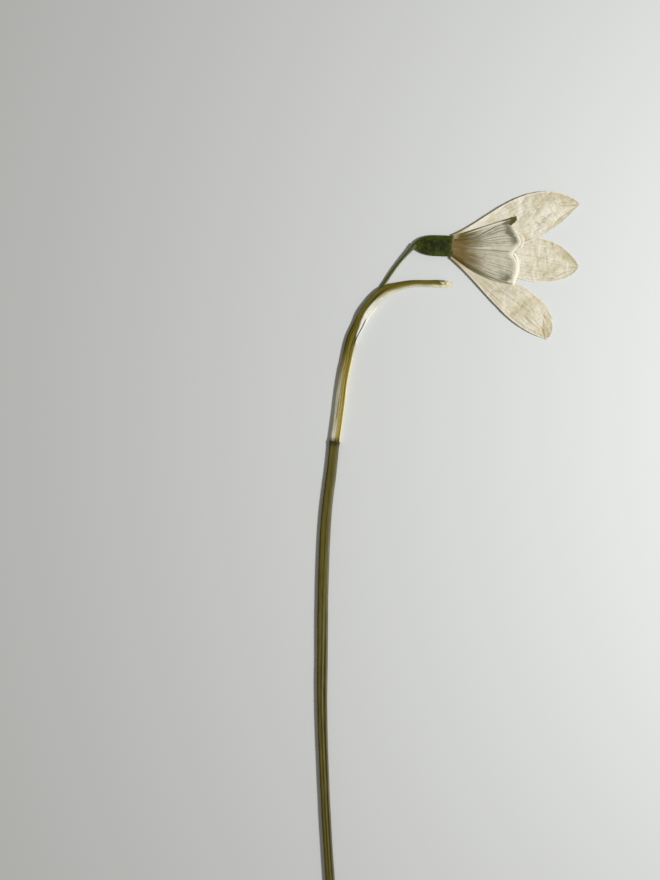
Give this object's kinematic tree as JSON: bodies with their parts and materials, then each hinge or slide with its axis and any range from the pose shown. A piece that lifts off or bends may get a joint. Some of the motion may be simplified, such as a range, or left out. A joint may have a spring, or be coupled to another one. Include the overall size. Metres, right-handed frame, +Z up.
{
  "type": "snowdrop flower",
  "caption": "Pressed snowdrop lying flat: long curved scape, hooked spathe, thin pedicel, dark ovary, spread outer tepals and a fan of short notched inner ones.",
  "frame": {"origin": "on the surface the flower lies on, under the middle of the whole flower", "axes": "+Z up, away from the surface; +Y along the scape, from its cut end towards the flower; +X the way the flower head opens"},
  "size_m": [0.047, 0.1304, 0.0017],
  "materials": {
    "dried_stalk": "matte",
    "dried_sheath": "matte",
    "dried_ovary": "matte",
    "dried_tepal": "matte",
    "dried_inner_tepal": "matte",
    "dried_stamen": "matte"
  },
  "bodies": {
    "root": {"scape": "dried_stalk", "spathe": "dried_sheath", "pedicel": "dried_stalk", "ovary": "dried_ovary", "outer_tepal_upper": "dried_tepal", "outer_tepal_middle": "dried_tepal", "outer_tepal_lower": "dried_tepal", "inner_tepal_front": "dried_inner_tepal", "inner_tepal_side": "dried_inner_tepal", "inner_tepal_back": "dried_inner_tepal", "stamen_1": "dried_stamen", "stamen_2": "dried_stamen", "stamen_3": "dried_stamen", "stamen_4": "dried_stamen", "stamen_5": "dried_stamen", "stamen_6": "dried_stamen", "style": "dried_inner_tepal"}
  },
  "joints": []
}
